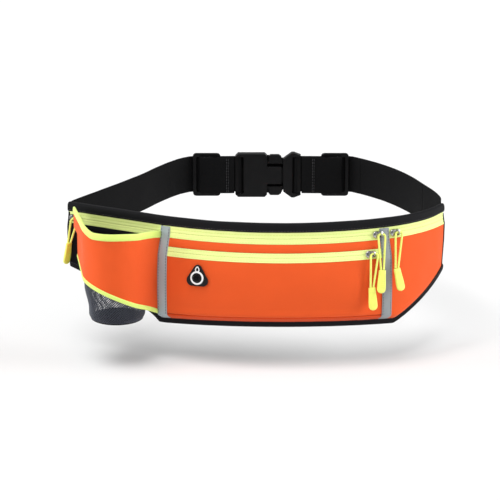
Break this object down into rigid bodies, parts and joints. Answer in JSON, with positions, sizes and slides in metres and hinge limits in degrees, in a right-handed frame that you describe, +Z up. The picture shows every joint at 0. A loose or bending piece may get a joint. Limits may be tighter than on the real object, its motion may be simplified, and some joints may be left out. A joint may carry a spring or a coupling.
{
  "type": "waist pack",
  "caption": "Curved running waist pack with zipped pockets, a mesh-bottomed bottle holder, an earphone port and a buckled webbing belt.",
  "frame": {"origin": "middle of the waist loop, halfway up the pack's middle", "axes": "+Z up as worn, -Y towards the front of the pack, +X to the right of someone who faces the front"},
  "size_m": [0.3871, 0.2829, 0.1173],
  "materials": {
    "orange": "matte stretch neoprene-backed knit, saturated orange",
    "lime": "woven polyester tape, fluorescent lime yellow",
    "black_cloth": "matte black knit and folded elastic binding",
    "reflective": "grey reflective tape with close stitching",
    "mesh": "open black polyester mesh",
    "rubber": "soft moulded black rubber",
    "white": "moulded white ring",
    "metal": "bright die-cast zinc",
    "cord": "round braided cord, fluorescent lime yellow",
    "grip": "moulded soft grip, fluorescent lime yellow",
    "webbing": "ribbed black elastic webbing",
    "plastic": "fine-textured black acetal"
  },
  "bodies": {
    "pack": {"front_panel": "orange", "bottom_gusset": "orange", "mid_strip": "orange", "right_wing_panel": "orange", "pocket_wrap": "orange", "pocket_top_binding": "lime", "pocket_bottom_binding": "lime", "main_zip_tape_upper": "lime", "main_zip_tape_lower": "lime", "main_zip_chain": "lime", "front_zip_tape_upper": "lime", "front_zip_tape_lower": "lime", "front_zip_chain": "lime", "right_zip_tape_upper": "lime", "right_zip_tape_lower": "lime", "right_zip_chain": "lime", "left_zip_tape_upper": "lime", "left_zip_tape_lower": "lime", "left_zip_chain": "lime", "left_wing_panel": "black_cloth", "back_panel": "black_cloth", "pocket_divider": "black_cloth", "left_end_wall": "black_cloth", "right_end_wall": "black_cloth", "top_binding": "black_cloth", "bottom_binding": "black_cloth", "left_end_binding": "black_cloth", "right_end_binding": "black_cloth", "reflective_strip_left": "reflective", "reflective_strip_right": "reflective", "mesh_cup": "mesh", "port_patch": "rubber", "port_ring": "white", "belt_left": "webbing", "belt_left_run": "webbing", "belt_right": "webbing", "buckle_female": "plastic"},
    "main_slider": {"main_zip_slider": "metal"},
    "main_pull": {"main_pull_cord": "cord", "main_pull_grip": "grip"},
    "front_slider": {"front_zip_slider": "metal"},
    "front_pull": {"front_pull_cord": "cord", "front_pull_grip": "grip"},
    "right_slider": {"right_zip_slider": "metal"},
    "right_pull": {"right_pull_cord": "cord", "right_pull_grip": "grip"},
    "left_slider": {"left_zip_slider": "metal"},
    "left_pull": {"left_pull_cord": "cord", "left_pull_grip": "grip"},
    "buckle_male": {"buckle_male": "plastic", "belt_right_run": "webbing"},
    "release_arm_upper": {"release_arm_upper": "plastic"},
    "release_arm_lower": {"release_arm_lower": "plastic"},
    "tri_glide_left": {"tri_glide_left": "plastic"},
    "tri_glide_right": {"tri_glide_right": "plastic"}
  },
  "joints": [
    {"name": "main_zip", "type": "hinge", "parent": "pack", "child": "main_slider", "pos_m": [0.02, 0.13, 0.0388], "axis": [0, 0, -1], "range_deg": [0, 41.5], "deforming": ["main_zip_chain", "main_pull_cord", "main_pull_grip"]},
    {"name": "front_zip", "type": "hinge", "parent": "pack", "child": "front_slider", "pos_m": [0.02, 0.13, 0.0209], "axis": [0, 0, -1], "range_deg": [0, 41.5], "deforming": ["front_zip_chain", "front_pull_cord", "front_pull_grip"]},
    {"name": "right_zip", "type": "hinge", "parent": "pack", "child": "right_slider", "pos_m": [0.07866, -0.00936, 0.0388], "axis": [0, 0, 1], "range_deg": [0, 28.5], "deforming": ["right_zip_chain"]},
    {"name": "left_zip", "type": "slide", "parent": "pack", "child": "left_slider", "axis": [0.8829, -0.4695, 0], "range_m": [0, 0.088], "deforming": ["left_zip_chain", "left_pull_cord", "left_pull_grip"]},
    {"name": "main_pull_swing", "type": "hinge", "parent": "main_slider", "child": "main_pull", "pos_m": [0.11737, -0.12647, 0.03941], "axis": [-0.9381, -0.3464, 0], "range_deg": [0, 95]},
    {"name": "front_pull_swing", "type": "hinge", "parent": "front_slider", "child": "front_pull", "pos_m": [0.11015, -0.1351, 0.02198], "axis": [-0.9496, -0.3135, 0], "range_deg": [0, 95]},
    {"name": "right_pull_swing", "type": "hinge", "parent": "right_slider", "child": "right_pull", "pos_m": [0.13473, -0.11899, 0.03941], "axis": [-0.8994, -0.4371, 0], "range_deg": [0, 95]},
    {"name": "left_pull_swing", "type": "hinge", "parent": "left_slider", "child": "left_pull", "pos_m": [-0.18851, -0.06981, 0.03941], "axis": [-0.8829, 0.4695, 0], "range_deg": [0, 95]},
    {"name": "buckle_release", "type": "slide", "parent": "pack", "child": "buckle_male", "axis": [1, 0, 0], "range_m": [0, 0.034], "deforming": ["belt_right_run", "release_arm_upper", "release_arm_lower"]},
    {"name": "arm_upper_flex", "type": "hinge", "parent": "buckle_male", "child": "release_arm_upper", "pos_m": [0.0236, 0.119, 0.048], "axis": [0, -1, 0], "range_deg": [0, 6], "stiffness_Nm_per_rad": 0.6},
    {"name": "arm_lower_flex", "type": "hinge", "parent": "buckle_male", "child": "release_arm_lower", "pos_m": [0.0236, 0.119, 0.02], "axis": [0, 1, 0], "range_deg": [0, 6], "stiffness_Nm_per_rad": 0.6},
    {"name": "tri_glide_left_adjust", "type": "slide", "parent": "pack", "child": "tri_glide_left", "axis": [1, 0, 0], "range_m": [-0.004, 0.01], "deforming": ["belt_left_run"]},
    {"name": "tri_glide_right_adjust", "type": "slide", "parent": "buckle_male", "child": "tri_glide_right", "axis": [1, 0, 0], "range_m": [-0.012, 0.004]}
  ],
  "couplings": [
    {"joint": "arm_lower_flex", "follows": "arm_upper_flex", "ratio": 1}
  ]
}
